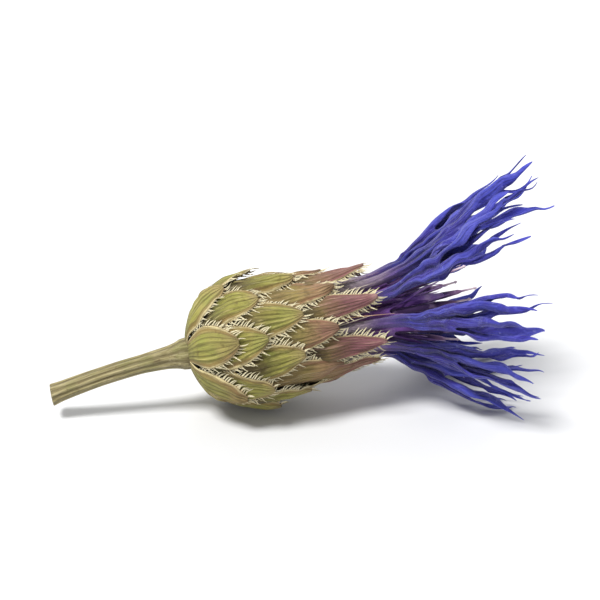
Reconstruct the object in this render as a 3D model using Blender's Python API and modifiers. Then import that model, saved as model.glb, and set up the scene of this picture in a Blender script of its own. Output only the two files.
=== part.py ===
"""One dried cornflower head, as picked: a stem stub, an involucre of overlapping bracts and a crown of florets.

The head lies on its side on the plane z = 0 with its crown towards +X. Each bract and each floret is an object of
its own, parented to the empty "head", whose X axis runs from the base of the involucre out through the crown.
"""

import math

import bmesh
import bpy
from mathutils import Matrix, Vector

MM = 0.001
TURN = 2 * math.pi

# How the head lies: the place of the involucre's base, and how far the crown is raised.
BASE_X = -8.08 * MM
BASE_Y = 1.86 * MM
BASE_HEIGHT = 4.65 * MM
CROWN_RAISE = math.radians(8)

# Involucre: nested ovoid layers, one for each whorl of bracts, that narrow towards the base and the mouth.
BELLY_X = 5.6 * MM
BELLY_RADIUS = 5.25 * MM
BASE_REACH = 5.6 * MM
CROWN_REACH = 26 * MM
LAYER_PITCH = 0.38 * MM
ROOT_RADIUS = 1.28 * MM

# Whorls from the outside in: name, number of bracts, where their tips end, their greatest half width.
WHORLS = (
    ("outer", 6, 3.5 * MM, 1.6 * MM),
    ("second", 8, 5.9 * MM, 1.65 * MM),
    ("third", 8, 8.4 * MM, 1.6 * MM),
    ("fourth", 8, 11.0 * MM, 1.5 * MM),
    ("inner", 8, 13.9 * MM, 1.15 * MM),
)
BRACT_THICKNESS = 0.2 * MM
BRACT_GAP = 0.14 * MM
BRACT_ROWS = 8
BRACT_COLUMNS = 4
TIP_LIFT = 0.22 * MM

# Stem stub and receptacle: distance along the head's axis, then radius. The stem sags towards its cut end.
STEM_PROFILE = (
    (-10.2, 0.78),
    (-9.4, 0.70),
    (-6.4, 0.64),
    (-3.4, 0.66),
    (-1.4, 0.80),
    (-0.2, 1.06),
    (1.5, 1.10),
    (1.95, 1.14),
    (2.2, 1.46),
    (2.6, 2.0),
    (3.1, 2.45),
    (3.6, 2.8),
    (3.85, 2.86),
    (3.95, 2.6),
    (4.0, 1.6),
)
STEM_SAG = 1.5 * MM
STEM_SIDE_BEND = 0.7 * MM

# Florets stand on the receptacle, run straight through the mouth, then spread.
FLORET_FOOT_X = 4.1 * MM
MOUTH_X = 13.2 * MM
RAYS = 9
RAY_RING = 2.62 * MM
RAY_TUBE_RADIUS = 0.36 * MM
RAY_SPREAD = 6.7 * MM
RAY_SPREAD_RANGE = 1.5 * MM
RAY_LIMB_X = 22.2 * MM
RAY_LIMB_X_RANGE = 1.8 * MM
RAY_FLATTENING = 0.45
RAY_ROLL = 0.9
RAY_LIMB_RADIUS = 1.7 * MM
RAY_LOBE_LENGTH = 3.4 * MM
LOBE_FLARE = 0.16
RAY_LOBES = 6
RAY_ROWS = 12
RAY_WALL = 0.16 * MM
DISCS_OUTER = 8
DISC_OUTER_RING = 1.62 * MM
DISC_OUTER_SPREAD = 3.3 * MM
DISCS_INNER = 4
DISC_INNER_RING = 0.72 * MM
DISC_INNER_SPREAD = 1.4 * MM
DISC_TIP_X = 20.8 * MM

# Another value gives the florets and bracts other lengths and bends.
VARIATION = 9

# A petal that reaches the surface is pressed flat on it over this height.
PRESS_HEIGHT = 0.45 * MM
SURFACE_CLEARANCE = 0.1 * MM


def vary(index, trait):
    """A fixed value from -1 to 1 for one trait of one piece, so that no two pieces are alike."""
    spread = math.sin(12.9898 * (index + 1) + 78.233 * (trait + VARIATION)) * 43758.5453
    return 2 * (spread - math.floor(spread)) - 1


def smooth(share):
    """Ease from 0 to 1."""
    share = min(max(share, 0.0), 1.0)
    return share * share * (3 - 2 * share)


def material(name, colour, roughness):
    made = bpy.data.materials.new(name)
    made.use_nodes = True
    surface = made.node_tree.nodes["Principled BSDF"]
    surface.inputs["Base Color"].default_value = (*colour, 1)
    surface.inputs["Roughness"].default_value = roughness
    surface.inputs["Metallic"].default_value = 0
    made.diffuse_color = (*colour, 1)
    return made


def clear_scene():
    for thing in list(bpy.data.objects):
        bpy.data.objects.remove(thing)


def head_frame():
    """The empty that carries the whole flower, and the collection for its pieces."""
    pieces = bpy.data.collections.new("cornflower")
    bpy.context.scene.collection.children.link(pieces)
    head = bpy.data.objects.new("head", None)
    head.location = (BASE_X, BASE_Y, BASE_HEIGHT)
    head.rotation_euler = (0, -CROWN_RAISE, 0)
    pieces.objects.link(head)
    return pieces, head


def head_matrix():
    place = Matrix.Translation((BASE_X, BASE_Y, BASE_HEIGHT))
    return place @ Matrix.Rotation(-CROWN_RAISE, 4, "Y")


def pressed(point):
    """A point of a petal, in the head's frame, kept above the surface that the head lies on."""
    world = head_matrix() @ point
    above = (world.z - SURFACE_CLEARANCE) / PRESS_HEIGHT
    if above < 20:
        world.z = SURFACE_CLEARANCE + PRESS_HEIGHT * math.log1p(math.exp(above))
    return head_matrix().inverted() @ world


def add_piece(pieces, head, name, data, surface, turn=0.0):
    piece = bpy.data.objects.new(name, data)
    piece.data.materials.append(surface)
    piece.parent = head
    piece.rotation_euler = (turn, 0, 0)
    pieces.objects.link(piece)
    return piece


def solidify(piece, thickness):
    shell = piece.modifiers.new("thickness", "SOLIDIFY")
    shell.thickness = thickness
    shell.offset = 0


def tube(name, points):
    """A curve through (point, radius) pairs, as a round solid with filled ends."""
    data = bpy.data.curves.new(name, "CURVE")
    data.dimensions = "3D"
    data.bevel_depth = MM
    data.bevel_resolution = 2
    data.use_fill_caps = True
    line = data.splines.new("POLY")
    line.points.add(len(points) - 1)
    for spot, (place, radius) in zip(line.points, points):
        spot.co = (*place, 1)
        spot.radius = radius / MM
    return data


def stem_with_receptacle():
    points = []
    for along, radius in STEM_PROFILE:
        back = max(-along, 0) * MM / (10.2 * MM)
        points.append((Vector((along * MM, STEM_SIDE_BEND * back**2, -STEM_SAG * back**2)), radius * MM))
    return tube("stem_with_receptacle", points)


def layer_radius(layer, x):
    """The middle surface of one whorl's layer: its distance from the axis at x."""
    inset = layer * LAYER_PITCH
    if x < BELLY_X:
        share = (BELLY_X - x) / (BASE_REACH - inset)
        return (BELLY_RADIUS - inset) * math.sqrt(max(1 - share**2, 0))
    share = (x - BELLY_X) / CROWN_REACH
    return BELLY_RADIUS * math.sqrt(1 - share**2) - inset


def layer_point(layer, tip_x, along):
    """Distance along the axis and from it, for a share from a bract's root to its tip."""
    inset = layer * LAYER_PITCH
    root_angle = math.asin(ROOT_RADIUS / (BELLY_RADIUS - inset))
    root_x = BELLY_X - (BASE_REACH - inset) * math.cos(root_angle)
    eased = along**1.7 * 0.55 + along * 0.45
    x = root_x + (tip_x - root_x) * eased
    if along == 0:
        return root_x, ROOT_RADIUS
    return x, layer_radius(layer, x) + TIP_LIFT * along**5


def bract_half_width(along, widest):
    """Narrow at the root, widest past the middle, rounded to a short point at the tip."""
    swell = 0.3 + 0.7 * smooth(along / 0.55)
    taper = math.sqrt(max(1 - (max(along - 0.5, 0) / 0.515) ** 2.2, 0))
    return widest * swell * taper


def bract(name, layer, count, tip_x, widest):
    """One bract as a curved sheet on its layer, centred on the head's +Z side."""
    sheet = bmesh.new()
    rows = []
    for row in range(BRACT_ROWS + 1):
        along = row / BRACT_ROWS
        x, radius = layer_point(layer, tip_x, along)
        room = math.pi / count - BRACT_GAP / 2 / radius
        half_angle = min(bract_half_width(along, widest) / radius, room)
        across = [2 * column / BRACT_COLUMNS - 1 for column in range(BRACT_COLUMNS + 1)]
        angles = [share * half_angle for share in across]
        rows.append([sheet.verts.new((x, radius * math.sin(a), radius * math.cos(a))) for a in angles])
    for near, far in zip(rows, rows[1:]):
        for column in range(BRACT_COLUMNS):
            sheet.faces.new((near[column], far[column], far[column + 1], near[column + 1]))
    bmesh.ops.recalc_face_normals(sheet, faces=sheet.faces)
    data = bpy.data.meshes.new(name)
    sheet.to_mesh(data)
    sheet.free()
    data.shade_smooth()
    return data


def floret_line(ring, spread, tip_x, angle, share):
    """A floret's centre line in the head's frame, from its foot on the receptacle (0) to its mouth (1)."""
    x = FLORET_FOOT_X + (tip_x - FLORET_FOOT_X) * share
    out = smooth((x - MOUTH_X) / (tip_x - MOUTH_X) * 0.72) / smooth(0.72)
    radius = ring + (spread - ring) * out
    return Vector((x, radius * math.cos(angle), radius * math.sin(angle)))


def ray_line(index, share):
    """A ray floret's centre line, each one bent, turned and reaching out differently."""
    spread = RAY_SPREAD + RAY_SPREAD_RANGE * vary(index, 2)
    limb_x = RAY_LIMB_X + RAY_LIMB_X_RANGE * vary(index, 3)
    angle = TURN * (index + 0.25) / RAYS + 0.1 * vary(index, 1)
    angle += 0.22 * vary(index, 4) * smooth((share - 0.5) * 2)
    return floret_line(RAY_RING, spread, limb_x, angle, share)


def ray_radius(share):
    """A slender tube that opens into a funnel."""
    return RAY_TUBE_RADIUS + (RAY_LIMB_RADIUS - RAY_TUBE_RADIUS) * smooth((share - 0.58) / 0.5) ** 1.3


def ray_offset(index, share, turn, reach):
    """From the centre line to the petal, which has dried flat towards its mouth, across the floret's own roll."""
    flare = ray_radius(share) + LOBE_FLARE * reach
    flat = 1 - RAY_FLATTENING * smooth((share - 0.5) * 2)
    roll = RAY_ROLL * vary(index, 7)
    wide = Vector((reach, flare * math.cos(turn), flare * flat * math.sin(turn)))
    return Matrix.Rotation(roll, 3, "X") @ wide


def outward_frame(centre, ahead):
    """Axes at a point of a centre line: along it, round the head, and out from the head's axis."""
    out = Vector((0, centre.y, centre.z)).normalized()
    across = out.cross(ahead).normalized()
    return Matrix((ahead, across, ahead.cross(across))).transposed()


def ray_floret(index):
    """One flared trumpet with pointed lobes, as an open sheet round its centre line."""
    sheet = bmesh.new()
    rings = []
    columns = 2 * RAY_LOBES
    for row in range(RAY_ROWS + 1):
        share = row / RAY_ROWS
        centre = ray_line(index, share)
        frame = outward_frame(centre, (ray_line(index, share + 0.01) - centre).normalized())
        ring = []
        for column in range(columns):
            turn = TURN * column / columns
            reach = RAY_LOBE_LENGTH * (1 - column % 2) if row == RAY_ROWS else 0
            offset = ray_offset(index, share, turn, reach)
            ring.append(sheet.verts.new(pressed(centre + frame @ offset)))
        rings.append(ring)
    for near, far in zip(rings, rings[1:]):
        for column in range(columns):
            after = (column + 1) % columns
            sheet.faces.new((near[column], near[after], far[after], far[column]))
    bmesh.ops.recalc_face_normals(sheet, faces=sheet.faces)
    data = bpy.data.meshes.new(f"ray_floret_{index + 1}")
    sheet.to_mesh(data)
    sheet.free()
    data.shade_smooth()
    return data


def disc_radius(share):
    """A thin tube, a swollen throat and the narrow column of anthers that stands out of it."""
    throat = 0.27 * smooth((share - 0.5) / 0.2) - 0.3 * smooth((share - 0.8) / 0.12)
    return (0.31 + throat) * MM


def disc_floret(name, index, ring, spread, angle):
    tip_x = DISC_TIP_X + 1.1 * MM * vary(index, 5)
    wide = spread + 0.25 * MM * vary(index, 6)
    steps = (0, 0.35, 0.5, 0.58, 0.66, 0.74, 0.82, 0.9, 1)
    points = [(floret_line(ring, wide, tip_x, angle, s), disc_radius(s)) for s in steps]
    data = tube(name, points)
    data.bevel_resolution = 1
    return data


def build_bracts(pieces, head, green, inner):
    for layer, (whorl, count, tip_x, widest) in enumerate(WHORLS):
        surface = inner if whorl == "inner" else green
        for index in range(count):
            name = f"bract_{whorl}_{index + 1}"
            reach = tip_x + 0.3 * MM * vary(index, 10 + layer)
            data = bract(name, layer, count, reach, widest)
            turn = TURN * (index + 0.5 * (layer % 2)) / count
            solidify(add_piece(pieces, head, name, data, surface, turn), BRACT_THICKNESS)


def build_florets(pieces, head, blue, violet):
    for index in range(RAYS):
        name = f"ray_floret_{index + 1}"
        solidify(add_piece(pieces, head, name, ray_floret(index), blue), RAY_WALL)
    rings = (
        (DISCS_OUTER, DISC_OUTER_RING, DISC_OUTER_SPREAD),
        (DISCS_INNER, DISC_INNER_RING, DISC_INNER_SPREAD),
    )
    number = 0
    for count, ring, spread in rings:
        for index in range(count):
            number += 1
            name = f"disc_floret_{number}"
            angle = TURN * (index + 0.5) / count
            data = disc_floret(name, number, ring, spread, angle)
            add_piece(pieces, head, name, data, violet)


def main():
    clear_scene()
    pieces, head = head_frame()
    stem = material("dried_stem", (0.42, 0.38, 0.2), 0.8)
    green = material("straw_green_bract", (0.5, 0.43, 0.18), 0.7)
    inner = material("mauve_tan_bract", (0.36, 0.2, 0.15), 0.7)
    blue = material("blue_petal", (0.06, 0.06, 0.42), 0.6)
    violet = material("violet_petal", (0.09, 0.03, 0.15), 0.6)
    add_piece(pieces, head, "stem_with_receptacle", stem_with_receptacle(), stem)
    build_bracts(pieces, head, green, inner)
    build_florets(pieces, head, blue, violet)
    bpy.context.view_layer.update()


main()
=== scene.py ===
"""The looks of one dried cornflower head that lies on its side, crown towards +X.

Bracts, florets and the stem are modelled straight and flat, as if laid out on a bench. Each copy is then
wrapped on its layer of the involucre, or bent along its own line in the crown.
"""

import bisect
import math

import bmesh
import bpy
from mathutils import Matrix, Vector, noise


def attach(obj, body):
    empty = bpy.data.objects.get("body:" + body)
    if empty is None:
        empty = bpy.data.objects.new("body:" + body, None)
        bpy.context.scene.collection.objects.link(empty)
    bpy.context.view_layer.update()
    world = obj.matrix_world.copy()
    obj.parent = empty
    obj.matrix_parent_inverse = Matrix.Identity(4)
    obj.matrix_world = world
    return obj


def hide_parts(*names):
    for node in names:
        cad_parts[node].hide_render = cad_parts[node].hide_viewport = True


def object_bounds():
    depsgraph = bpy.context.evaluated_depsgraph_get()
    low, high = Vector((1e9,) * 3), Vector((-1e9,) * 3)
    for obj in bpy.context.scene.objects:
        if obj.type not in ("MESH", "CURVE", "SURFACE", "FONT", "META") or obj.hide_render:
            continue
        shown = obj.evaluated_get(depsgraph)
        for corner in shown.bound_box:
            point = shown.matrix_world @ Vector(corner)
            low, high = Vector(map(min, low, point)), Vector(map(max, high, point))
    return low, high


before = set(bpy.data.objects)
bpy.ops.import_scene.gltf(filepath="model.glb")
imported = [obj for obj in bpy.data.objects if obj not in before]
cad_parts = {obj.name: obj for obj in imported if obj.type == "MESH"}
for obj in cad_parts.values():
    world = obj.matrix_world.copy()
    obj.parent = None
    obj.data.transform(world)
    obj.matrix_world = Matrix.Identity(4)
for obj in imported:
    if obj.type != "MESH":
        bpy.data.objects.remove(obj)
cad_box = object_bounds()
noise.seed_set(3)  # the crumpling is the same on every run

MM = 0.001
TURN = 2 * math.pi
SAME_PLACE = 1e-7

# How the head lies, as in the solids: the involucre's base, and the rise of its axis towards the crown.
HEAD_BASE = Vector((-8.08, 1.86, 4.65)) * MM
CROWN_RAISE = math.radians(8)
HEAD = Matrix.Translation(HEAD_BASE) @ Matrix.Rotation(-CROWN_RAISE, 4, "Y")
HEAD_INVERSE = HEAD.inverted()

# Involucre
BELLY_X = 5.6 * MM
BELLY_RADIUS = 5.25 * MM
BASE_REACH = 5.6 * MM
CROWN_REACH = 26 * MM
LAYER_PITCH = 0.38 * MM
ROOT_RADIUS = 1.28 * MM
TIP_LIFT = 0.22 * MM
WHORLS = (
    ("outer", 6, 3.5 * MM, 1.6 * MM),
    ("second", 8, 5.9 * MM, 1.65 * MM),
    ("third", 8, 8.4 * MM, 1.6 * MM),
    ("fourth", 8, 11.0 * MM, 1.5 * MM),
    ("inner", 8, 13.9 * MM, 1.15 * MM),
)
BRACT_THICKNESS = 0.15 * MM
BRACT_CROWN = 0.16 * MM
BRACT_ROWS = 28
BRACT_COLUMNS = 26
RIBS = 7
RIB_HEIGHT = 0.03 * MM
LOOSE_TIP = 0.4 * MM
PROFILE_STEPS = 160
FLOOR_GAP = 0.03 * MM
PAPERY_SHARE = 0.35
WRINKLE = 0.2 * MM
RIPPLE = 0.22 * MM
PUCKER = 0.06 * MM
EDGE_ROLL = 0.12 * MM
BRACT_SKEW = 0.09
BRACT_LEAN = 0.06 * MM
TOOTH_INSET = 0.06 * MM
FRINGE_REACH = 4.0 * MM
FRINGE_TEETH = 22
# Each part of a fringe tooth, in millimetres: from, to, width there and there, shift aside, lift.
FRINGE_TOOTH = (
    (0.0, 0.16, 0.06, 0.052, 0.0, 0.03),
    (0.16, 0.38, 0.052, 0.036, -0.03, 0.05),
    (0.38, 0.6, 0.036, 0.012, -0.08, 0.03),
)

# Florets
FLORET_FOOT_X = 4.1 * MM
MOUTH_X = 13.2 * MM
RAYS = 9
RAY_RING = 2.62 * MM
RAY_TUBE_RADIUS = 0.36 * MM
RAY_SPREAD = 6.7 * MM
RAY_SPREAD_RANGE = 1.5 * MM
RAY_LIMB_X = 22.2 * MM
RAY_LIMB_X_RANGE = 1.8 * MM
RAY_FLATTENING = 0.45
RAY_ROLL = 0.9
RAY_LIMB_RADIUS = 1.7 * MM
RAY_LOBE_LENGTH = 3.4 * MM
LOBE_FLARE = 0.2
RAY_LOBES = 6
RAY_LENGTH = RAY_LIMB_X - FLORET_FOOT_X
EDGES_PER_LOBE = 8
RAY_RIM = 0.87
LOBE_ROWS = 10
LOBE_FULLNESS = 3.0
PETAL_THICKNESS = 0.065 * MM
PETAL_VEINS = RAY_LOBES * EDGES_PER_LOBE // 2
PETAL_VEIN = 0.035 * MM
DISCS_OUTER = 8
DISC_OUTER_RING = 1.62 * MM
DISC_OUTER_SPREAD = 3.3 * MM
DISCS_INNER = 4
DISC_INNER_RING = 0.72 * MM
DISC_INNER_SPREAD = 1.4 * MM
DISC_TIP_X = 20.8 * MM
DISC_LENGTH = DISC_TIP_X - FLORET_FOOT_X
PRESS_HEIGHT = 0.45 * MM
SURFACE_CLEARANCE = 0.1 * MM
CROWN_SIDE = 8.7 * MM
# The crumpling of a petal: how many waves in a metre, and how far each moves it.
CRUMPLES = ((620, 0.45 * MM), (1400, 0.3 * MM), (3600, 0.12 * MM))
TUBE_END = 0.46
LOBE_REACH = RAY_LOBE_LENGTH + (1 - RAY_RIM) * RAY_LENGTH
DISC_LOBES = 5
DISC_RIM = 0.66
DISC_LOBE_LENGTH = 3.6 * MM
VARIATION = 9

CHAFF_BRISTLES = 90
CHAFF_RING = 2.9 * MM
CHAFF_TIP_X = 13.9 * MM
CHAFF_WIDTH = 0.05 * MM

STEM_PROFILE = (
    (-10.2, 0.78),
    (-9.4, 0.70),
    (-6.4, 0.64),
    (-3.4, 0.66),
    (-1.4, 0.80),
    (-0.2, 1.06),
    (1.5, 1.10),
    (1.95, 1.14),
    (2.2, 1.46),
    (2.6, 2.0),
    (3.1, 2.45),
    (3.6, 2.8),
    (3.85, 2.86),
    (3.95, 2.6),
    (4.0, 1.6),
)
STEM_LENGTH = 10.2 * MM
STEM_PITH = 0.75 * MM
COLLAR_X = 0.25 * MM
COLLAR_WIDTH = 0.5 * MM
COLLAR_SWELL = 0.36
STEM_FURROWS = 9
STEM_SAG = 1.5 * MM
STEM_SIDE_BEND = 0.7 * MM


# ---------------------------------------------------------------- shapes that the solids share


def vary(index, trait):
    """A fixed value from -1 to 1 for one trait of one piece, so that no two pieces are alike."""
    spread = math.sin(12.9898 * (index + 1) + 78.233 * (trait + VARIATION)) * 43758.5453
    return 2 * (spread - math.floor(spread)) - 1


def smooth(share):
    share = min(max(share, 0.0), 1.0)
    return share * share * (3 - 2 * share)


def pressed(point):
    """A point of a petal, in the head's frame, kept above the surface that the head lies on."""
    world = HEAD @ point
    above = (world.z - SURFACE_CLEARANCE) / PRESS_HEIGHT
    if above < 20:
        world.z = SURFACE_CLEARANCE + PRESS_HEIGHT * math.log1p(math.exp(above))
    return HEAD_INVERSE @ world


def held(point):
    """A point of a petal kept from straying far out to either side."""
    point.y -= math.copysign(max(abs(point.y) - CROWN_SIDE, 0) * 0.6, point.y)
    return point


def rested(point):
    """A point of a bract kept above the surface."""
    point.z = max(point.z, FLOOR_GAP)
    return point


def layer_radius(layer, x):
    inset = layer * LAYER_PITCH
    if x < BELLY_X:
        share = (BELLY_X - x) / (BASE_REACH - inset)
        return (BELLY_RADIUS - inset) * math.sqrt(max(1 - share**2, 0))
    share = (x - BELLY_X) / CROWN_REACH
    return BELLY_RADIUS * math.sqrt(1 - share**2) - inset


def layer_profile(layer, tip_x):
    """The middle line of a bract on its layer: (distance from its root, x, radius) from root to tip."""
    inset = layer * LAYER_PITCH
    root_angle = math.asin(ROOT_RADIUS / (BELLY_RADIUS - inset))
    root_x = BELLY_X - (BASE_REACH - inset) * math.cos(root_angle)
    line = []
    distance = 0.0
    for step in range(PROFILE_STEPS + 1):
        x = root_x + (tip_x - root_x) * (step / PROFILE_STEPS) ** 1.7
        radius = layer_radius(layer, x)
        if line:
            distance += math.hypot(x - line[-1][1], radius - line[-1][2])
        line.append((distance, x, radius))
    return line


def floret_line(ring, spread, tip_x, angle, share):
    """A floret's centre line in the head's frame, from its foot on the receptacle (0) to its mouth (1)."""
    x = FLORET_FOOT_X + (tip_x - FLORET_FOOT_X) * share
    out = smooth((x - MOUTH_X) / (tip_x - MOUTH_X) * 0.72) / smooth(0.72)
    radius = ring + (spread - ring) * out
    return Vector((x, radius * math.cos(angle), radius * math.sin(angle)))


def ray_line(index, share):
    spread = RAY_SPREAD + RAY_SPREAD_RANGE * vary(index, 2)
    limb_x = RAY_LIMB_X + RAY_LIMB_X_RANGE * vary(index, 3)
    angle = TURN * (index + 0.25) / RAYS + 0.1 * vary(index, 1)
    angle += 0.22 * vary(index, 4) * smooth((share - 0.5) * 2)
    return floret_line(RAY_RING, spread, limb_x, angle, share)


def ray_radius(share):
    return RAY_TUBE_RADIUS + (RAY_LIMB_RADIUS - RAY_TUBE_RADIUS) * smooth((share - 0.58) / 0.5) ** 1.3


def outward_frame(centre, ahead):
    """Axes at a point of a centre line: along it, round the head, and out from the head's axis."""
    out = Vector((0, centre.y, centre.z)).normalized()
    across = out.cross(ahead).normalized()
    return Matrix((ahead, across, ahead.cross(across))).transposed()


# ---------------------------------------------------------------- modelling by operators


def deselect():
    if bpy.context.object and bpy.context.object.mode != "OBJECT":
        bpy.ops.object.mode_set(mode="OBJECT")
    bpy.ops.object.select_all(action="DESELECT")


def edit(piece):
    deselect()
    bpy.context.view_layer.objects.active = piece
    piece.select_set(True)
    bpy.ops.object.mode_set(mode="EDIT")
    bpy.ops.mesh.select_all(action="DESELECT")


def select_points(piece, chosen):
    """Selects, in edit mode, the points whose place passes the test and the edges between them."""
    bpy.ops.mesh.select_mode(type="VERT")
    bpy.ops.mesh.select_all(action="DESELECT")
    shape = bmesh.from_edit_mesh(piece.data)
    shape.verts.ensure_lookup_table()
    for point in shape.verts:
        if chosen(point.co):
            point.select = True
    shape.select_flush(True)
    bmesh.update_edit_mesh(piece.data)


def finish_edit(piece, name):
    bpy.ops.object.mode_set(mode="OBJECT")
    piece.name = name
    piece.data.name = name
    return piece


def copy_piece(piece, name):
    made = piece.copy()
    made.data = piece.data.copy()
    made.name = name
    made.data.name = name
    bpy.context.scene.collection.objects.link(made)
    return made


def apply_modifiers(piece):
    deselect()
    bpy.context.view_layer.objects.active = piece
    piece.select_set(True)
    for modifier in list(piece.modifiers):
        bpy.ops.object.modifier_apply(modifier=modifier.name)


def round_off(piece):
    """Applies one step of subdivision, with what modifiers came before it."""
    rounder = piece.modifiers.new("smooth", "SUBSURF")
    rounder.levels = 1
    rounder.render_levels = 1
    apply_modifiers(piece)
    piece.data.shade_smooth()


def thicken(piece, thickness, group=None):
    """Gives an open sheet its thickness and a smooth surface."""
    shell = piece.modifiers.new("thickness", "SOLIDIFY")
    shell.thickness = thickness
    shell.offset = 0
    if group:
        shell.vertex_group = group
        shell.thickness_vertex_group = PAPERY_SHARE
    round_off(piece)


def model_ring(radius, sides):
    """An open ring round the X axis at the origin."""
    deselect()
    bpy.ops.mesh.primitive_circle_add(vertices=sides, radius=radius, fill_type="NOTHING")
    ring = bpy.context.object
    edit(ring)
    bpy.ops.mesh.select_all(action="SELECT")
    bpy.ops.transform.rotate(value=math.pi / 2, orient_axis="Y", center_override=(0, 0, 0))
    return ring


def extrude_ring(piece, at, to, radius, next_radius):
    """Extrudes the open ring at one distance along X to the next, and sets its radius."""
    select_points(piece, lambda co: abs(co.x - at) < SAME_PLACE)
    bpy.ops.mesh.extrude_region_move(TRANSFORM_OT_translate={"value": (to - at, 0, 0)})
    size = next_radius / radius
    middle = ring_middle(piece)
    bpy.ops.transform.resize(value=(1, size, size), center_override=middle)


def ring_middle(piece):
    chosen = [point.co for point in bmesh.from_edit_mesh(piece.data).verts if point.select]
    return sum(chosen, Vector()) / len(chosen)


def close_ring(piece, at):
    select_points(piece, lambda co: abs(co.x - at) < SAME_PLACE)
    bpy.ops.mesh.edge_face_add()


def extrude_lobes(piece, rim_x, rim_radius, lobes, edges, length, rows, flare):
    """Draws the rim out into narrow pointed lobes, one row at a time."""
    for lobe in range(lobes):
        middle = TURN * (lobe + 0.5) / lobes
        spread = TURN / lobes / 2 * (edges - 1) / edges + 0.01
        at, width = rim_x, 1.0
        for row in range(1, rows + 1):
            share = row / rows
            to = rim_x + length * share
            next_width = max((1 - share**LOBE_FULLNESS) * (1 - 0.2 * share), 0.05)

            def in_lobe(co, at=at):
                turn = math.atan2(co.z, co.y) - middle
                turn = (turn + math.pi) % TURN - math.pi
                return abs(co.x - at) < SAME_PLACE and abs(turn) < spread

            select_points(piece, in_lobe)
            bpy.ops.mesh.extrude_region_move(TRANSFORM_OT_translate={"value": (to - at, 0, 0)})
            out = rim_radius + flare * length * share
            centre = (to, out * math.cos(middle), out * math.sin(middle))
            step_out = flare * length / rows
            bpy.ops.transform.translate(
                value=(0, step_out * math.cos(middle), step_out * math.sin(middle)),
            )
            size = next_width / width
            bpy.ops.transform.resize(value=(1, size, size), center_override=centre)
            at, width = to, next_width


def face_outwards():
    """Turns the faces of the closed piece in edit mode outwards."""
    bpy.ops.mesh.select_all(action="SELECT")
    bpy.ops.mesh.normals_make_consistent(inside=False)


def join_pieces(pieces):
    deselect()
    for piece in pieces:
        piece.select_set(True)
    bpy.context.view_layer.objects.active = pieces[0]
    bpy.ops.object.join()
    return pieces[0]


def remove_piece(piece):
    mesh = piece.data
    bpy.data.objects.remove(piece)
    bpy.data.meshes.remove(mesh)


def note_places(piece, place_of):
    """Stores where each point lies on the piece, for the material: a vector called place."""
    kept = piece.data.attributes.new("place", "FLOAT_VECTOR", "POINT")
    for point, spot in zip(piece.data.vertices, kept.data):
        spot.vector = place_of(point.co)


def note_number(piece, name, value):
    """Stores a number for the material: one for the whole piece, or a list with one for each point."""
    kept = piece.data.attributes.new(name, "FLOAT", "POINT")
    values = value if isinstance(value, list) else [value] * len(piece.data.vertices)
    kept.data.foreach_set("value", values)


# ---------------------------------------------------------------- bracts


def bract_half_width(along, widest):
    """Narrow at the root, widest past the middle, drawn to a short point."""
    swell = 0.5 + 0.5 * smooth(along / 0.55)
    taper = max(1 - (max(along - 0.45, 0) / 0.56) ** 2.1, 0) ** 0.7
    return widest * swell * taper


def model_bract_blade(name, length, widest):
    """A flat bract along +X, cut to its outline."""
    deselect()
    bpy.ops.mesh.primitive_grid_add(x_subdivisions=BRACT_ROWS, y_subdivisions=BRACT_COLUMNS, size=2)
    blade = bpy.context.object
    edit(blade)
    bpy.ops.mesh.select_all(action="SELECT")
    bpy.ops.transform.resize(value=(length / 2, widest, 1), center_override=(0, 0, 0))
    bpy.ops.transform.translate(value=(length / 2, 0, 0))
    step = length / BRACT_ROWS
    for row in range(BRACT_ROWS + 1):
        at = row * step
        select_points(blade, lambda co, at=at: abs(co.x - at) < step * 0.1)
        share = bract_half_width(row / BRACT_ROWS, widest) / widest
        bpy.ops.transform.resize(value=(1, share, 1), center_override=(at, 0, 0))
    return finish_edit(blade, name)


def model_fringe_tooth():
    """One bristle of a bract's fringe: flat, tapered and curved, along +X from the origin."""
    tooth = model_ring(0.055 * MM, 4)
    close_ring(tooth, 0)
    for near, far, radius, next_radius, aside, lift in FRINGE_TOOTH:
        extrude_ring(tooth, near * MM, far * MM, radius * MM, next_radius * MM)
        bpy.ops.transform.translate(value=(0, aside * MM, lift * MM))
    close_ring(tooth, FRINGE_TOOTH[-1][1] * MM)
    bpy.ops.mesh.select_all(action="SELECT")
    bpy.ops.transform.resize(value=(1, 1, 0.5), center_override=(0, 0, 0))
    face_outwards()
    tooth = finish_edit(tooth, "fringe_tooth")
    note_places(tooth, lambda co: (0, co.x / (FRINGE_TOOTH[-1][1] * MM), 1))
    return tooth


def model_fringe(name, tooth, length, widest):
    """Copies the tooth along both margins and round the tip, leaning towards the tip."""
    first = max(1 - FRINGE_REACH / length, 0.1)
    teeth = []
    for number in range(FRINGE_TEETH):
        along = first + (0.998 - first) * ((number + 0.5) / FRINGE_TEETH) ** 0.8
        half = bract_half_width(along, widest)
        ahead = bract_half_width(min(along + 0.01, 1), widest)
        slope = math.atan2(half - ahead, 0.01 * length)
        for side in (-1, 1):
            bristle = copy_piece(tooth, "bristle")
            lean = math.radians(50) - 0.5 * slope + 0.35 * vary(number, 30 + side)
            size = 0.85 + 0.4 * vary(number, 33 + side)
            turn = Matrix.Rotation(side * max(lean, 0.05), 4, "Z")
            mirrored = Matrix.Diagonal((size, side * size, size, 1))
            place = Matrix.Translation((along * length, side * (half - TOOTH_INSET), 0))
            bristle.data.transform(place @ turn @ mirrored)
            if side < 0:
                bristle.data.flip_normals()
            teeth.append(bristle)
    fringe = join_pieces(teeth)
    fringe.name = name
    return fringe


def place_on_blade(co, length, widest, exposure):
    along = min(max(co.x / length, 0), 1)
    half = max(bract_half_width(along, widest), 0.05 * MM)
    return ((length - co.x) / MM * exposure, co.y / half, 0)


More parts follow.
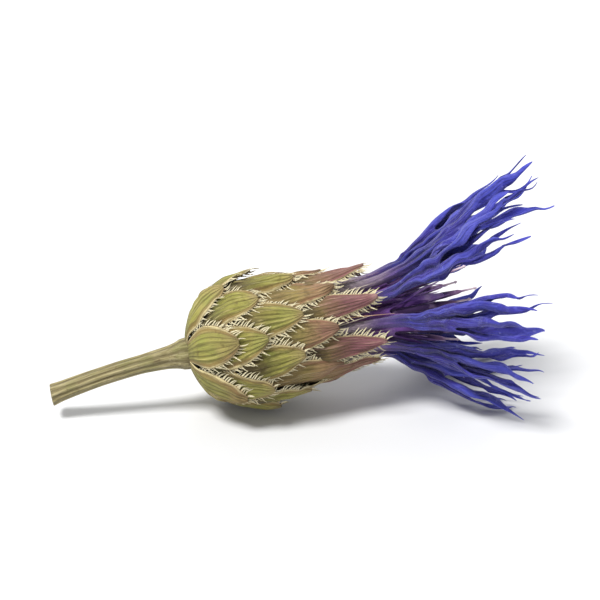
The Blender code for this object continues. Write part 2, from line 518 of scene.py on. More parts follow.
def wrap_bract(piece, layer, tip_x, length, widest, turn, number, limit):
    """Lays a flat bract or its fringe on its layer, ribbed and wrinkled as it dried.

    Nothing reaches further round the head than the limit, so that narrow roots stand side by side.
    """
    line = layer_profile(layer, tip_x)
    distances = [spot[0] for spot in line]
    stretch = distances[-1] / length
    curl = TIP_LIFT * (0.6 * vary(number, 40 + layer) - 0.35)
    if layer == len(WHORLS) - 1:
        curl = LOOSE_TIP * (0.5 + vary(number, 40 + layer))
    skew = BRACT_SKEW * vary(number, 45 + layer)
    lean = BRACT_LEAN * vary(number, 47 + layer)
    seed = Vector((number * 7.3, layer * 5.1, 2.7))
    for point in piece.data.vertices:
        along, across, height = point.co
        wanted = min(max(along * stretch, 0), distances[-1])
        step = min(max(bisect.bisect_left(distances, wanted), 1), len(line) - 1)
        near, far = line[step - 1], line[step]
        share = (wanted - near[0]) / max(far[0] - near[0], 1e-9)
        x = near[1] + (far[1] - near[1]) * share
        radius = near[2] + (far[2] - near[2]) * share
        ahead = Vector((far[1] - near[1], far[2] - near[2])).normalized()
        beyond = max(along * stretch - distances[-1], 0)
        tip_share = max(min(along / length, 1.1), 0)
        half = max(bract_half_width(min(tip_share, 1), widest), 0.3 * MM)
        outer_share = min(abs(across) / half, 1.3)
        wrinkle = noise.noise(Vector((along * 420, across * 2300, 0)) + seed)
        ripple = noise.noise(Vector((along * 700, across * 800, 3)) + seed)
        pucker = noise.noise(Vector((along * 2100, across * 2100, 6)) + seed)
        rib = math.cos(RIBS * math.pi * across / half + 2 * ripple) * (1 - min(outer_share, 1) ** 4)
        crown = BRACT_CROWN * (1 - outer_share**2) * smooth(tip_share * 2)
        edge_roll = EDGE_ROLL * vary(number * 3 + (across > 0), 48 + layer) * outer_share**3
        dried = RIPPLE * ripple + WRINKLE * wrinkle + PUCKER * pucker + edge_roll
        lift = height + crown + curl * tip_share**5 + lean * across / half
        lift += (dried + RIB_HEIGHT * rib) * smooth(tip_share * 1.5)
        x += ahead.x * beyond - ahead.y * lift
        radius += ahead.y * beyond + ahead.x * lift
        aside = min(max(across / max(radius, ROOT_RADIUS), -limit), limit)
        angle = aside + skew * tip_share**2 - turn
        point.co = rested(HEAD @ Vector((x, radius * math.sin(angle), radius * math.cos(angle))))


def thin_at_edge(blade, length, widest):
    """The blade is thickest along its middle and papery at its margins."""
    body = blade.vertex_groups.new(name="body")
    for point in blade.data.vertices:
        half = max(bract_half_width(point.co.x / length, widest), 1e-6)
        across = min(abs(point.co.y) / half, 1)
        body.add([point.index], 1 - 0.8 * across**3, "REPLACE")


def make_bracts(finishes):
    tooth = model_fringe_tooth()
    made = []
    for layer, (whorl, count, tip_x, widest) in enumerate(WHORLS):
        length = layer_profile(layer, tip_x)[-1][0]
        # The outer whorl's distance from the tip is halved, so the painted shade at the root end of its
        # colour ramp stays off it; nothing covers it.
        exposure = 0.5 if whorl == "outer" else 1
        blade = model_bract_blade(f"flat_{whorl}", length, widest)
        thin_at_edge(blade, length, widest)
        note_places(blade, lambda co: place_on_blade(co, length, widest, exposure))
        fringe = model_fringe(f"flat_{whorl}_fringe", tooth, length, widest)
        for index in range(count):
            reach = tip_x + 0.3 * MM * vary(index, 10 + layer)
            turn = TURN * (index + 0.5 * (layer % 2)) / count
            limit = math.pi / count - 0.01
            piece = copy_piece(blade, f"{whorl}_bract_{index + 1}")
            wrap_bract(piece, layer, reach, length, widest, turn, index, limit)
            thicken(piece, BRACT_THICKNESS, group="body")
            piece.vertex_groups.clear()
            bristles = copy_piece(fringe, "bristles")
            wrap_bract(bristles, layer, reach, length, widest, turn, index, math.pi)
            piece = join_pieces([piece, bristles])
            note_number(piece, "variety", vary(index, 50 + layer))
            piece.data.materials.append(finishes[whorl])
            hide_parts(f"bract_{whorl}_{index + 1}")
            made.append(piece)
        remove_piece(blade)
        remove_piece(fringe)
    remove_piece(tooth)
    return made


# ---------------------------------------------------------------- ray florets


def model_straight_ray():
    """A trumpet along +X: a slim tube, a funnel and six pointed lobes, as an open sheet."""
    stations = [TUBE_END * row / 6 for row in range(6)]
    stations += [TUBE_END + (RAY_RIM - TUBE_END) * row / 20 for row in range(21)]
    ray = model_ring(ray_radius(0), RAY_LOBES * EDGES_PER_LOBE)
    for near, far in zip(stations, stations[1:]):
        extrude_ring(ray, near * RAY_LENGTH, far * RAY_LENGTH, ray_radius(near), ray_radius(far))
    rim_x, rim_radius = RAY_RIM * RAY_LENGTH, ray_radius(RAY_RIM)
    extrude_lobes(ray, rim_x, rim_radius, RAY_LOBES, EDGES_PER_LOBE, LOBE_REACH, LOBE_ROWS, LOBE_FLARE)
    return finish_edit(ray, "straight_ray")


def bend_ray(piece, index):
    """Bends a straight ray along its own line, crumples it as it dried, and presses it on the surface."""
    roll = Matrix.Rotation(RAY_ROLL * vary(index, 7), 3, "X")
    phase = 0.6 * vary(index, 60)
    seed = Vector((index * 11.3, index * 3.7, 1.9))
    folds = []
    for point in piece.data.vertices:
        co = point.co
        share = min(co.x / RAY_LENGTH, 1)
        turn = math.atan2(co.z, co.y)
        radius = math.hypot(co.y, co.z)
        limb = smooth((share - 0.48) / 0.4)
        lobe = math.floor(turn / (TURN / RAY_LOBES)) % RAY_LOBES
        middle = TURN * (lobe + 0.5) / RAY_LOBES
        fold = math.cos(RAY_LOBES * (turn - middle) + phase)
        round_it = Vector((math.cos(turn) * 1.3, math.sin(turn) * 1.3, share * 5))
        crumple = noise.noise(round_it + seed)
        veins = PETAL_VEIN * math.cos(PETAL_VEINS * turn) * limb
        radius = radius * (1 + limb * (0.24 * fold + 0.55 * crumple)) + veins
        along_lobe = max(co.x - RAY_RIM * RAY_LENGTH, 0) / LOBE_REACH
        number = index * 7 + lobe
        out = radius * math.cos(turn - middle)
        aside = radius * math.sin(turn - middle)
        twist = 1.5 * vary(number, 64) * along_lobe
        curl = (1.5 * vary(number, 61) - 0.7) * MM * along_lobe**2
        out, aside = out + aside * math.sin(twist) + curl, aside * math.cos(twist)
        aside += 1.1 * MM * vary(number, 65) * along_lobe**2
        reach = max(co.x - RAY_LENGTH, 0) * (1 + 0.15 * vary(number, 66))
        y = out * math.cos(middle) - aside * math.sin(middle)
        z = out * math.sin(middle) + aside * math.cos(middle)
        flat = 1 - RAY_FLATTENING * smooth((share - 0.5) * 2)
        centre = ray_line(index, share)
        onward = (ray_line(index, share + 0.01) - centre).normalized()
        spot = centre + outward_frame(centre, onward) @ (roll @ Vector((reach, y, z * flat)))
        jitter = Vector()
        for waves, size in CRUMPLES:
            jitter += noise.noise_vector(spot * waves + seed) * size
        point.co = held(HEAD @ pressed(spot + jitter * limb))
        folds.append(0.55 * fold + 1.2 * crumple)
    # How far each point is pushed out by its fold and crumple; the petal's material paints shade in the
    # folds and a highlight on the ridges from it.
    note_number(piece, "fold", folds)


def make_rays(finish):
    master = model_straight_ray()
    note_places(master, lambda co: (co.x / RAY_LENGTH, *unit_turn(co)))
    made = []
    for index in range(RAYS):
        piece = copy_piece(master, f"blue_ray_{index + 1}")
        bend_ray(piece, index)
        thicken(piece, PETAL_THICKNESS)
        note_number(piece, "variety", vary(index, 63))
        piece.data.materials.append(finish)
        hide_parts(f"ray_floret_{index + 1}")
        made.append(piece)
    remove_piece(master)
    return made


def unit_turn(co):
    turn = math.atan2(co.z, co.y)
    return math.cos(turn), math.sin(turn)


# ---------------------------------------------------------------- disc florets


def corolla_radius(share):
    """The violet tube of a disc floret, swelling to its throat."""
    return (0.3 + 0.24 * smooth((share - 0.5) / 0.14)) * MM


def model_straight_disc():
    """The corolla of a disc floret along +X: a slim tube with narrow lobes, as an open sheet."""
    rows, edges = 12, 4
    tube = model_ring(corolla_radius(0), DISC_LOBES * edges)
    for row in range(rows):
        near, far = DISC_RIM * row / rows, DISC_RIM * (row + 1) / rows
        extrude_ring(tube, near * DISC_LENGTH, far * DISC_LENGTH, corolla_radius(near), corolla_radius(far))
    rim_x, rim_radius = DISC_RIM * DISC_LENGTH, corolla_radius(DISC_RIM)
    extrude_lobes(tube, rim_x, rim_radius, DISC_LOBES, edges, DISC_LOBE_LENGTH, 7, 0.26)
    tube = finish_edit(tube, "straight_disc")
    note_places(tube, lambda co: (co.x / DISC_LENGTH, 0, 0))
    return tube


def model_straight_column():
    """The closed dark column of joined anthers, and the pale style with its knob that stands out of it."""
    sides = 10
    # How far along the floret, and the radius there in millimetres.
    stations = (
        (0.5, 0.12),
        (0.6, 0.2),
        (0.74, 0.26),
        (0.86, 0.25),
        (0.92, 0.16),
        (0.935, 0.08),
        (0.985, 0.07),
    )
    column = model_ring(stations[0][1] * MM, sides)
    select_points(column, lambda co: True)
    bpy.ops.mesh.edge_face_add()
    bpy.ops.mesh.select_all(action="SELECT")
    bpy.ops.transform.translate(value=(stations[0][0] * DISC_LENGTH, 0, 0))
    for (near, radius), (far, wider) in zip(stations, stations[1:]):
        extrude_ring(column, near * DISC_LENGTH, far * DISC_LENGTH, radius, wider)
    end = stations[-1][0] * DISC_LENGTH
    select_points(column, lambda co: abs(co.x - end) < SAME_PLACE)
    bpy.ops.mesh.extrude_region_move(TRANSFORM_OT_translate={"value": (0.1 * MM, 0, 0)})
    bpy.ops.transform.resize(value=(1, 1.8, 1.8), center_override=(end + 0.1 * MM, 0, 0))
    bpy.ops.mesh.extrude_region_move(TRANSFORM_OT_translate={"value": (0.14 * MM, 0, 0)})
    bpy.ops.transform.resize(value=(1, 0.3, 0.3), center_override=(end + 0.24 * MM, 0, 0))
    bpy.ops.mesh.edge_face_add()
    face_outwards()
    column = finish_edit(column, "straight_column")
    note_places(column, lambda co: (co.x / DISC_LENGTH, 1, 0))
    return column


def bend_disc(piece, number, ring, spread, angle):
    tip_x = DISC_TIP_X + 1.1 * MM * vary(number, 5)
    wide = spread + 0.25 * MM * vary(number, 6)
    for point in piece.data.vertices:
        co = point.co
        share = min(max(co.x / DISC_LENGTH, 0), 1)
        turn = math.atan2(co.z, co.y)
        radius = math.hypot(co.y, co.z)
        reach = max(share - DISC_RIM, 0)
        wave = noise.noise(Vector((co.x * 500, math.cos(turn) * 2 + number * 5, math.sin(turn) * 2)))
        radius *= 1 + 0.25 * wave
        if radius > 0.3 * MM and reach > 0:
            lobe = round(turn / (TURN / DISC_LOBES) - 0.5)
            radius += (0.35 + 0.55 * vary(number * DISC_LOBES + lobe, 71)) * MM * smooth(reach * 4.5)
        centre = floret_line(ring, wide, tip_x, angle, share)
        onward = (floret_line(ring, wide, tip_x, angle, share + 0.01) - centre).normalized()
        offset = Vector((0, radius * math.cos(turn), radius * math.sin(turn)))
        point.co = HEAD @ (centre + outward_frame(centre, onward) @ offset)


def make_discs(finish):
    corolla = model_straight_disc()
    column = model_straight_column()
    rings = (
        (DISCS_OUTER, DISC_OUTER_RING, DISC_OUTER_SPREAD),
        (DISCS_INNER, DISC_INNER_RING, DISC_INNER_SPREAD),
    )
    made = []
    number = 0
    for count, ring, spread in rings:
        for index in range(count):
            number += 1
            angle = TURN * (index + 0.5) / count
            tube = copy_piece(corolla, f"violet_disc_{number}")
            bend_disc(tube, number, ring, spread, angle)
            thicken(tube, PETAL_THICKNESS * 0.8)
            anthers = copy_piece(column, "anthers")
            bend_disc(anthers, number, ring, spread, angle)
            anthers.data.shade_smooth()
            piece = join_pieces([tube, anthers])
            piece.data.materials.append(finish)
            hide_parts(f"disc_floret_{number}")
            made.append(piece)
    remove_piece(corolla)
    remove_piece(column)
    return made


# ---------------------------------------------------------------- stem


def make_stem(finish):
    """The ribbed stem stub with its cut end, widening into the receptacle."""
    sides = 40
    stations = []
    for (near, radius), (far, wider) in zip(STEM_PROFILE, STEM_PROFILE[1:]):
        steps = 4 if far <= -0.1 else 1
        for step in range(steps):
            share = step / steps
            stations.append((near + (far - near) * share, radius + (wider - radius) * share))
    stations.append(STEM_PROFILE[-1])
    stem = model_ring(stations[0][1] * MM, sides)
    bpy.ops.mesh.select_all(action="SELECT")
    bpy.ops.transform.translate(value=(stations[0][0] * MM, 0, 0))
    for (near, radius), (far, wider) in zip(stations, stations[1:]):
        extrude_ring(stem, near * MM, far * MM, radius, wider)
    for end in (stations[0][0] * MM, stations[-1][0] * MM):
        select_points(stem, lambda co: abs(co.x - end) < SAME_PLACE)
        bpy.ops.mesh.edge_face_add()
        bpy.ops.mesh.inset(thickness=0.12 * MM, depth=0)
        bpy.ops.mesh.inset(thickness=0.14 * MM, depth=-0.1 * MM)
        bpy.ops.mesh.inset(thickness=0.2 * MM, depth=-0.12 * MM)
    face_outwards()
    stem = finish_edit(stem, "stem")
    note_places(stem, lambda co: (co.x / STEM_LENGTH, co.y / STEM_PITH, co.z / STEM_PITH))
    furrows = []
    for point in stem.data.vertices:
        co = point.co
        turn = math.atan2(co.z, co.y)
        back = max(-co.x, 0) / STEM_LENGTH
        furrows.append(math.cos(STEM_FURROWS * turn + 0.8 * back))
        ribs = 0.1 * furrows[-1] * smooth(back * 6)
        collar = COLLAR_SWELL * math.exp(-(((co.x - COLLAR_X) / COLLAR_WIDTH) ** 2))
        dent = 0.05 * noise.noise(Vector((co.x * 300, co.y * 900, co.z * 900)))
        size = 1 + ribs + dent + collar
        bent = Vector((co.x, co.y * size + STEM_SIDE_BEND * back**2, co.z * size - STEM_SAG * back**2))
        point.co = HEAD @ bent
    note_number(stem, "fold", furrows)
    round_off(stem)
    stem.data.materials.append(finish)
    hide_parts("stem_with_receptacle")
    return stem


# ---------------------------------------------------------------- chaff


def model_straight_bristle():
    """One flat silky bristle along +X, from 0 to 1."""
    bristle = model_ring(1, 4)
    stations = ((0, 1), (0.25, 1.1), (0.5, 0.9), (0.75, 0.6), (1, 0.12))
    close_ring(bristle, 0)
    for (near, radius), (far, wider) in zip(stations, stations[1:]):
        extrude_ring(bristle, near, far, radius, wider)
    close_ring(bristle, 1)
    face_outwards()
    return finish_edit(bristle, "straight_bristle")


def make_chaff(finish):
    """The bristles that fill the mouth of the involucre, between the florets."""
    master = model_straight_bristle()
    bristles = []
    for number in range(CHAFF_BRISTLES):
        bristle = copy_piece(master, f"bristle_{number}")
        turn = TURN * (number * 0.618034 % 1)
        foot = CHAFF_RING * math.sqrt((number + 0.5) / CHAFF_BRISTLES)
        tip_x = CHAFF_TIP_X + 1.3 * MM * vary(number, 80)
        spread = 1.1 + 0.25 * vary(number, 81)
        sway = 0.25 * vary(number, 82)
        age = 0.5 + 0.5 * vary(number, 83)
        note_places(bristle, lambda co: (co.x, age, 0))
        for point in bristle.data.vertices:
            along, width, height = point.co
            x = FLORET_FOOT_X + (tip_x - FLORET_FOOT_X) * along
            radius = foot * (1 + (spread - 1) * along**3) + height * CHAFF_WIDTH / 2
            angle = width * CHAFF_WIDTH / max(radius, 0.3 * MM) - turn - sway * along**2
            point.co = HEAD @ Vector((x, radius * math.sin(angle), radius * math.cos(angle)))
        bristles.append(bristle)
    chaff = join_pieces(bristles)
    chaff.name = "chaff"
    chaff.data.name = "chaff"
    chaff.data.materials.append(finish)
    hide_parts("stem_with_receptacle")
    remove_piece(master)
    return chaff


# ---------------------------------------------------------------- materials


class Wire:
    """One value in a material. Arithmetic on it adds the Math nodes."""

    def __init__(self, finish, socket):
        self.finish = finish
        self.socket = socket

    def math(self, operation, *others):
        values = dict(enumerate((self, *others)))
        return self.finish.node("ShaderNodeMath", {"operation": operation}, values)

    def __add__(self, other):
        return self.math("ADD", other)

    def __sub__(self, other):
        return self.math("SUBTRACT", other)

    def __rsub__(self, other):
        return self.finish.node("ShaderNodeMath", {"operation": "SUBTRACT"}, {0: other, 1: self})

    def __mul__(self, other):
        return self.math("MULTIPLY", other)

    def __truediv__(self, other):
        return self.math("DIVIDE", other)

    __radd__ = __add__
    __rmul__ = __mul__

    def __pow__(self, other):
        return self.math("POWER", other)

    def __abs__(self):
        return self.math("ABSOLUTE")

    def sine(self):
        return self.math("SINE")

    def between(self, low, high):
        """0 below low, 1 above high, eased between."""
        settings = {"interpolation_type": "SMOOTHSTEP", "clamp": True}
        values = {"Value": self, "From Min": low, "From Max": high}
        return self.finish.node("ShaderNodeMapRange", settings, values)


class Finish:
    """A material under construction, with one method that adds any node."""

    def __init__(self, name, roughness, **constants):
        self.material = bpy.data.materials.new(name)
        self.material.use_nodes = True
        self.tree = self.material.node_tree
        self.surface = self.tree.nodes["Principled BSDF"]
        self.surface.inputs["Roughness"].default_value = roughness
        for socket, value in constants.items():
            self.surface.inputs[socket.replace("_", " ")].default_value = value

    def node(self, kind, settings, values, output=0):
        made = self.tree.nodes.new(kind)
        for key, value in settings.items():
            if key == "stops":
                self.set_stops(made.color_ramp, value)
            else:
                setattr(made, key, value)
        for socket, value in values.items():
            self.fill(made.inputs[socket], value)
        return Wire(self, made.outputs[output])

    def set_stops(self, ramp, stops):
        while len(ramp.elements) < len(stops):
            ramp.elements.new(0.5)
        for element, (position, colour) in zip(ramp.elements, stops):
            element.position = position
            element.color = (*colour, 1)

    def fill(self, socket, value):
        if isinstance(value, Wire):
            self.tree.links.new(value.socket, socket)
        elif isinstance(value, tuple) and len(value) == 3 and socket.type == "RGBA":
            socket.default_value = (*value, 1)
        else:
            socket.default_value = value

    def place(self):
        """Where a point lies on its piece, as three numbers."""
        spot = self.node("ShaderNodeAttribute", {"attribute_name": "place"}, {}, "Vector")
        first = self.node("ShaderNodeSeparateXYZ", {}, {"Vector": spot}, "X")
        parts = first.socket.node
        return first, Wire(self, parts.outputs["Y"]), Wire(self, parts.outputs["Z"])

    def noted(self, name):
        return self.node("ShaderNodeAttribute", {"attribute_name": name}, {}, "Fac")

    def object_place(self):
        return self.node("ShaderNodeTexCoord", {}, {}, "Object")

    def vector(self, x, y, z):
        return self.node("ShaderNodeCombineXYZ", {}, {"X": x, "Y": y, "Z": z})

    def grain(self, vector, scale, detail=3.0, roughness=0.55):
        values = {"Vector": vector, "Scale": scale, "Detail": detail, "Roughness": roughness}
        return self.node("ShaderNodeTexNoise", {}, values, "Fac")

    def mix(self, factor, first, second, blend="MIX"):
        values = {0: factor, 6: first, 7: second}
        return self.node("ShaderNodeMix", {"data_type": "RGBA", "blend_type": blend}, values, 2)

    def ramp(self, factor, stops):
        return self.node("ShaderNodeValToRGB", {"stops": stops}, {"Fac": factor}, "Color")

    def relief(self, height, distance, strength=1.0):
        values = {"Height": height, "Distance": distance, "Strength": strength}
        self.fill(self.surface.inputs["Normal"], self.node("ShaderNodeBump", {}, values, "Normal"))

    def colour(self, value):
        self.fill(self.surface.inputs["Base Color"], value)

    def roughness(self, value):
        self.fill(self.surface.inputs["Roughness"], value)


def bract_finish(name, stops, edge_colour, streak_colour, rib_strength, green_share):
    """Dry bract: lengthwise ribs and streaks, mottling, a papery brown margin and a silvery fringe, with
    painted shade towards the root, where the next layer covers it.
    """
    finish = Finish(name, 0.7, Specular_IOR_Level=0.25, Sheen_Weight=0.08)
    tip_mm, across, fringe = finish.place()
    variety = finish.noted("variety")
    ground = finish.object_place()
    waver = finish.grain(finish.vector(tip_mm * 0.5, across * 1.5, variety * 9), 1.0, 2.0)
    ribs = (across * 24.0 + waver * 9.0).sine() * 0.5 + 0.5
    streaks = finish.grain(finish.vector(tip_mm * 0.55, across * 8.0, variety * 11), 1.0, 4.0, 0.65)
    fine = finish.grain(finish.vector(tip_mm * 2.4, across * 30.0, variety * 13), 1.0, 2.0, 0.6)
    mottle = finish.grain(ground, 900.0, 4.0, 0.7)
    patches = finish.grain(ground, 260.0, 2.0)
    # The ramp runs from the tip towards the root; its dark root end is painted shade, where the next layer
    # of bracts covers this one.
    colour = finish.ramp((tip_mm + (mottle - 0.5) * 1.8 + (streaks - 0.5) * 1.6) / 5.0, stops)
    colour = finish.mix(patches.between(0.46, 0.62) * green_share, colour, (0.22, 0.25, 0.05))
    colour = finish.mix((variety * 0.5 + 0.5).between(0.4, 1.0) * 0.5, colour, (0.38, 0.27, 0.1))
    colour = finish.mix(ribs.between(0.5, 0.95) * rib_strength, colour, (0.075, 0.06, 0.018))
    colour = finish.mix(streaks.between(0.52, 0.7) * 0.6, colour, streak_colour)
    colour = finish.mix(fine.between(0.52, 0.72) * 0.5, colour, (0.085, 0.06, 0.022))
    rim = abs(across) + (mottle - 0.5) * 0.3
    shown = 1 - tip_mm.between(2.6, 4.2)
    margin = rim.between(0.58, 0.8) * shown
    colour = finish.mix(margin * 0.6, colour, edge_colour)
    papery = rim.between(0.82, 0.95) * shown * (0.3 + 0.7 * streaks.between(0.4, 0.56))
    colour = finish.mix(papery * 0.9, colour, (0.64, 0.55, 0.29))
    scorched = (1 - tip_mm.between(0.15, 1.1)) * (variety * 0.5 + 0.5).between(0.35, 0.8)
    colour = finish.mix(scorched * 0.7, colour, (0.13, 0.07, 0.035))
    colour = finish.mix(mottle.between(0.57, 0.74) * 0.55, colour, (0.1, 0.06, 0.028))
    bristle = finish.mix(across.between(0.0, 0.3), (0.34, 0.22, 0.1), (0.76, 0.68, 0.44))
    finish.colour(finish.mix(fringe, colour, bristle))
    finish.roughness(0.62 + mottle * 0.35)
    finish.relief(ribs * 0.5 + streaks * 1.2 + fine * 0.5 + mottle * 0.5, 0.09 * MM, 1.0)
    return finish.material


def ray_finish():
    """Dry blue petal: pale tube, deep blue funnel and navy veins, with painted shade in the folds, painted
    highlights on the ridges and crinkles, and painted light showing through along the creases.
    """
    finish = Finish("blue_petal", 0.6, Specular_IOR_Level=0.25, Sheen_Weight=0.2)
    along, turn_cos, turn_sin = finish.place()
    variety = finish.noted("variety")
    fold = finish.noted("fold")
    ground = finish.object_place()
    veins = finish.grain(finish.vector(along * 2.6, turn_cos * 11.0, turn_sin * 11.0), 1.0, 3.0, 0.65)
    patches = finish.grain(ground, 420.0, 3.0, 0.6)
    crinkle = finish.grain(ground, 2400.0, 4.0, 0.7)
    lengthwise = finish.vector(along * 9.0, turn_cos * 6.0, turn_sin * 6.0)
    creases = abs(finish.grain(lengthwise, 1.0, 3.0, 0.6) - 0.5)
    stops = (
        (0.0, (0.5, 0.44, 0.3)),
        (0.42, (0.36, 0.27, 0.33)),
        (0.5, (0.13, 0.07, 0.25)),
        (0.6, (0.036, 0.022, 0.21)),
        (0.84, (0.022, 0.023, 0.25)),
        (1.0, (0.034, 0.04, 0.36)),
    )
    colour = finish.ramp(along * 0.86 + (patches - 0.5) * 0.2, stops)
    limb = along.between(0.55, 0.72)
    colour = finish.mix((variety * 0.5 + 0.5) * limb * 0.4, colour, (0.055, 0.02, 0.19))
    colour = finish.mix(patches.between(0.5, 0.72) * limb * 0.5, colour, (0.06, 0.075, 0.46))
    # Painted highlight on the ridges of the folds.
    colour = finish.mix(fold.between(0.15, 0.9) * limb * 0.5, colour, (0.085, 0.1, 0.52))
    # Painted shade down in the folds.
    colour = finish.mix((1 - fold.between(-0.7, 0.05)) * limb * 0.8, colour, (0.006, 0.005, 0.06))
    colour = finish.mix(veins.between(0.5, 0.66) * 0.65, colour, (0.007, 0.005, 0.07))
    # Paler blue along the crease lines: painted light showing through the thin petal there.
    colour = finish.mix((1 - creases.between(0.0, 0.05)) * limb * 0.35, colour, (0.13, 0.13, 0.58))
    # Paler blue on the tops of the fine crinkles: a painted highlight.
    colour = finish.mix(crinkle.between(0.58, 0.76) * limb * 0.45, colour, (0.26, 0.27, 0.66))
    finish.colour(colour)
    finish.roughness(0.66 + patches * 0.3)
    finish.relief(veins * 1.2 + crinkle * 1.3 + creases * 2.0, 0.12 * MM, 1.0)
    return finish.material


def disc_finish():
    """Dry violet floret with lilac ends, and dark anthers with a pale style."""
    finish = Finish("violet_petal", 0.6, Specular_IOR_Level=0.25, Sheen_Weight=0.15)
    along, column, _ = finish.place()
    ground = finish.object_place()
    patches = finish.grain(ground, 800.0, 3.0, 0.6)
    crinkle = finish.grain(ground, 2600.0, 3.0)
    petal = finish.ramp(
        along + (patches - 0.5) * 0.25,
        (
            (0.0, (0.6, 0.53, 0.36)),
            (0.42, (0.4, 0.25, 0.33)),
            (0.55, (0.17, 0.06, 0.24)),
            (0.74, (0.11, 0.04, 0.24)),
            (0.82, (0.28, 0.15, 0.42)),
            (0.9, (0.6, 0.47, 0.66)),
        ),
    )
    anthers = finish.ramp(
        along + (patches - 0.5) * 0.06,
        (
            (0.7, (0.05, 0.018, 0.085)),
            (0.86, (0.035, 0.012, 0.07)),
            (0.93, (0.25, 0.13, 0.25)),
            (0.96, (0.7, 0.56, 0.6)),
        ),
    )
    colour = finish.mix(column, petal, anthers)
    colour = finish.mix(patches.between(0.54, 0.72) * 0.45, colour, (0.5, 0.34, 0.52))
    finish.colour(finish.mix(crinkle.between(0.58, 0.78) * 0.4, colour, (0.03, 0.01, 0.06)))
    finish.roughness(0.5 + patches * 0.3)
    finish.relief(crinkle, 0.07 * MM, 1.0)
    return finish.material


def stem_finish():
    """Dry ribbed stem: pale greenish tan with dusty down and darker furrows."""
    finish = Finish("dry_stem", 0.75, Specular_IOR_Level=0.25, Sheen_Weight=0.2)
    along, aside, above = finish.place()
    ground = finish.object_place()
    streaks = finish.grain(finish.vector(along * 3.0, aside * 6.0, above * 6.0), 1.0, 4.0, 0.7)
    core = (aside * aside + above * above) ** 0.5
    patches = finish.grain(ground, 500.0, 3.0)
    specks = finish.grain(ground, 3200.0, 2.0)
    furrow = finish.noted("fold")
    colour = finish.ramp(
        streaks,
        ((0.32, (0.09, 0.065, 0.03)), (0.48, (0.27, 0.225, 0.1)), (0.66, (0.44, 0.38, 0.21))),
    )
    colour = finish.mix(patches.between(0.48, 0.66) * 0.5, colour, (0.2, 0.2, 0.065))
    colour = finish.mix((1 - furrow.between(-0.9, 0.2)) * 0.6, colour, (0.075, 0.055, 0.02))
    colour = finish.mix(specks.between(0.58, 0.72) * 0.4, colour, (0.12, 0.08, 0.035))
    cut = 1 - along.between(-1.002, -0.994)
    pith = finish.mix(specks.between(0.4, 0.6), (0.62, 0.54, 0.36), (0.36, 0.28, 0.15))
    rind = finish.mix(core.between(0.5, 0.74), pith, (0.2, 0.15, 0.06))
    colour = finish.mix(cut, colour, rind)
    finish.colour(colour)
    finish.roughness(0.6 + patches * 0.3)
    finish.relief(streaks + specks * 0.4, 0.09 * MM, 1.0)
    return finish.material


def chaff_finish():
    """Silky bristles between the florets: silver to straw, some rusty."""
    finish = Finish("silky_chaff", 0.5, Specular_IOR_Level=0.35, Sheen_Weight=0.2)
    along, age, _ = finish.place()
    specks = finish.grain(finish.object_place(), 1500.0, 2.0)
    colour = finish.mix(along, (0.5, 0.4, 0.2), (0.74, 0.66, 0.5))
    colour = finish.mix(age.between(0.55, 0.8) * 0.8, colour, (0.5, 0.24, 0.08))
    finish.colour(finish.mix(specks.between(0.5, 0.7) * 0.4, colour, (0.3, 0.2, 0.1)))
    finish.roughness(0.4 + specks * 0.3)
    return finish.material


# Colours of a bract from its tip (0) towards its root (1). The dark stops at the root end are painted shade,
# where the next layer of bracts covers the bract.
GREEN_STOPS = (
    (0.0, (0.34, 0.26, 0.11)),
    (0.14, (0.345, 0.295, 0.087)),
    (0.3, (0.29, 0.272, 0.06)),
    (0.52, (0.2, 0.185, 0.04)),
    (0.72, (0.075, 0.055, 0.018)),
    (1.0, (0.04, 0.027, 0.011)),
)
BLUSHED_STOPS = (
    (0.0, (0.31, 0.145, 0.135)),
    (0.22, (0.25, 0.105, 0.095)),
    (0.38, (0.25, 0.14, 0.08)),
    (0.56, (0.2, 0.16, 0.045)),
    (0.72, (0.075, 0.053, 0.02)),
    (1.0, (0.04, 0.027, 0.011)),
)
MAUVE_STOPS = (
    (0.0, (0.42, 0.23, 0.23)),
    (0.12, (0.25, 0.095, 0.115)),
    (0.45, (0.19, 0.072, 0.085)),
    (0.65, (0.2, 0.1, 0.07)),
    (0.85, (0.16, 0.11, 0.04)),
    (1.0, (0.05, 0.035, 0.017)),
)


# ---------------------------------------------------------------- stage


FLOOR_SIZE = 4
WORLD_LIGHT = 0.5
# Each lamp: name, the side it shines from, softness in degrees, power.
LAMPS = (
    ("key_light", (-0.12, -0.06, 0.28), 20, 4.0),
    ("back_light", (0.1, 0.22, 0.2), 45, 1.0),
)
CAMERA_AZIMUTH = math.radians(-10)
CAMERA_ELEVATION = math.radians(25)
CAMERA_DISTANCE = 0.107
CAMERA_LENS = 90


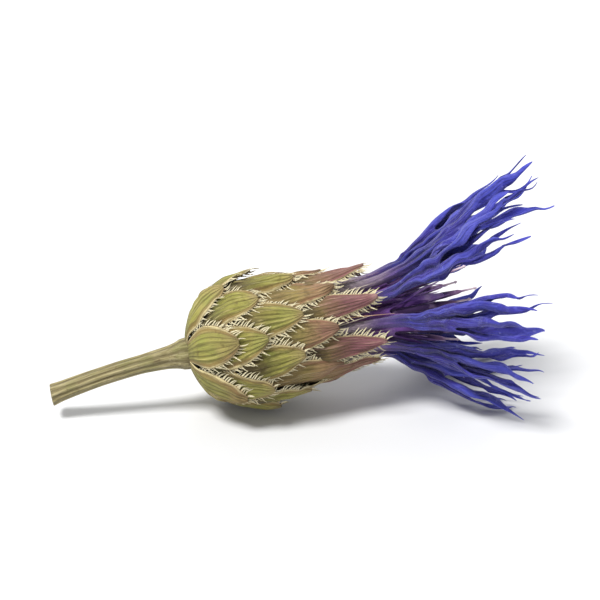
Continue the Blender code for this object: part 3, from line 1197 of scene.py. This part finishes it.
def make_stage():
    floor_finish = Finish("pale_floor", 0.75)
    specks = floor_finish.grain(floor_finish.object_place(), 30.0)
    floor_finish.colour(floor_finish.mix(specks, (0.66, 0.66, 0.66), (0.63, 0.63, 0.63)))
    deselect()
    bpy.ops.mesh.primitive_plane_add(size=FLOOR_SIZE, location=(0, 0, 0))
    floor = bpy.context.object
    floor.name = "floor"
    floor.data.materials.append(floor_finish.material)

    world = bpy.data.worlds.new("studio")
    world.use_nodes = True
    world.node_tree.nodes["Background"].inputs["Color"].default_value = (0.95, 0.97, 1.0, 1)
    world.node_tree.nodes["Background"].inputs["Strength"].default_value = WORLD_LIGHT
    bpy.context.scene.world = world

    for name, place, softness, power in LAMPS:
        lamp = bpy.data.lights.new(name, "SUN")
        lamp.angle = math.radians(softness)
        lamp.energy = power
        light = bpy.data.objects.new(name, lamp)
        light.location = place
        light.rotation_euler = (-Vector(place)).to_track_quat("-Z", "Y").to_euler()
        bpy.context.scene.collection.objects.link(light)


def make_camera():
    lo, hi = cad_box
    aim = (lo + hi) / 2
    level = math.cos(CAMERA_ELEVATION)
    aside, back = math.sin(CAMERA_AZIMUTH) * level, -math.cos(CAMERA_AZIMUTH) * level
    away = Vector((aside, back, math.sin(CAMERA_ELEVATION)))
    data = bpy.data.cameras.new("camera")
    data.lens = CAMERA_LENS
    data.clip_start = 0.005
    camera = bpy.data.objects.new("camera", data)
    camera.location = aim + away * CAMERA_DISTANCE
    camera.rotation_euler = (-away).to_track_quat("-Z", "Y").to_euler()
    bpy.context.scene.collection.objects.link(camera)
    bpy.context.scene.camera = camera


def main():
    bpy.context.scene.view_settings.view_transform = "Standard"
    green = bract_finish("straw_green_bract", GREEN_STOPS, (0.22, 0.12, 0.05), (0.54, 0.46, 0.18), 0.5, 0.55)
    blushed = bract_finish("blushed_bract", BLUSHED_STOPS, (0.23, 0.1, 0.06), (0.5, 0.37, 0.19), 0.45, 0.2)
    mauve = bract_finish("mauve_tipped_bract", MAUVE_STOPS, (0.22, 0.08, 0.08), (0.5, 0.3, 0.24), 0.4, 0.05)
    whorl_finishes = {"outer": green, "second": green, "third": green, "fourth": blushed, "inner": mauve}
    pieces = make_bracts(whorl_finishes)
    pieces += make_rays(ray_finish())
    pieces += make_discs(disc_finish())
    pieces.append(make_stem(stem_finish()))
    pieces.append(make_chaff(chaff_finish()))
    for piece in pieces:
        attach(piece, "root")
    make_stage()
    make_camera()


main()
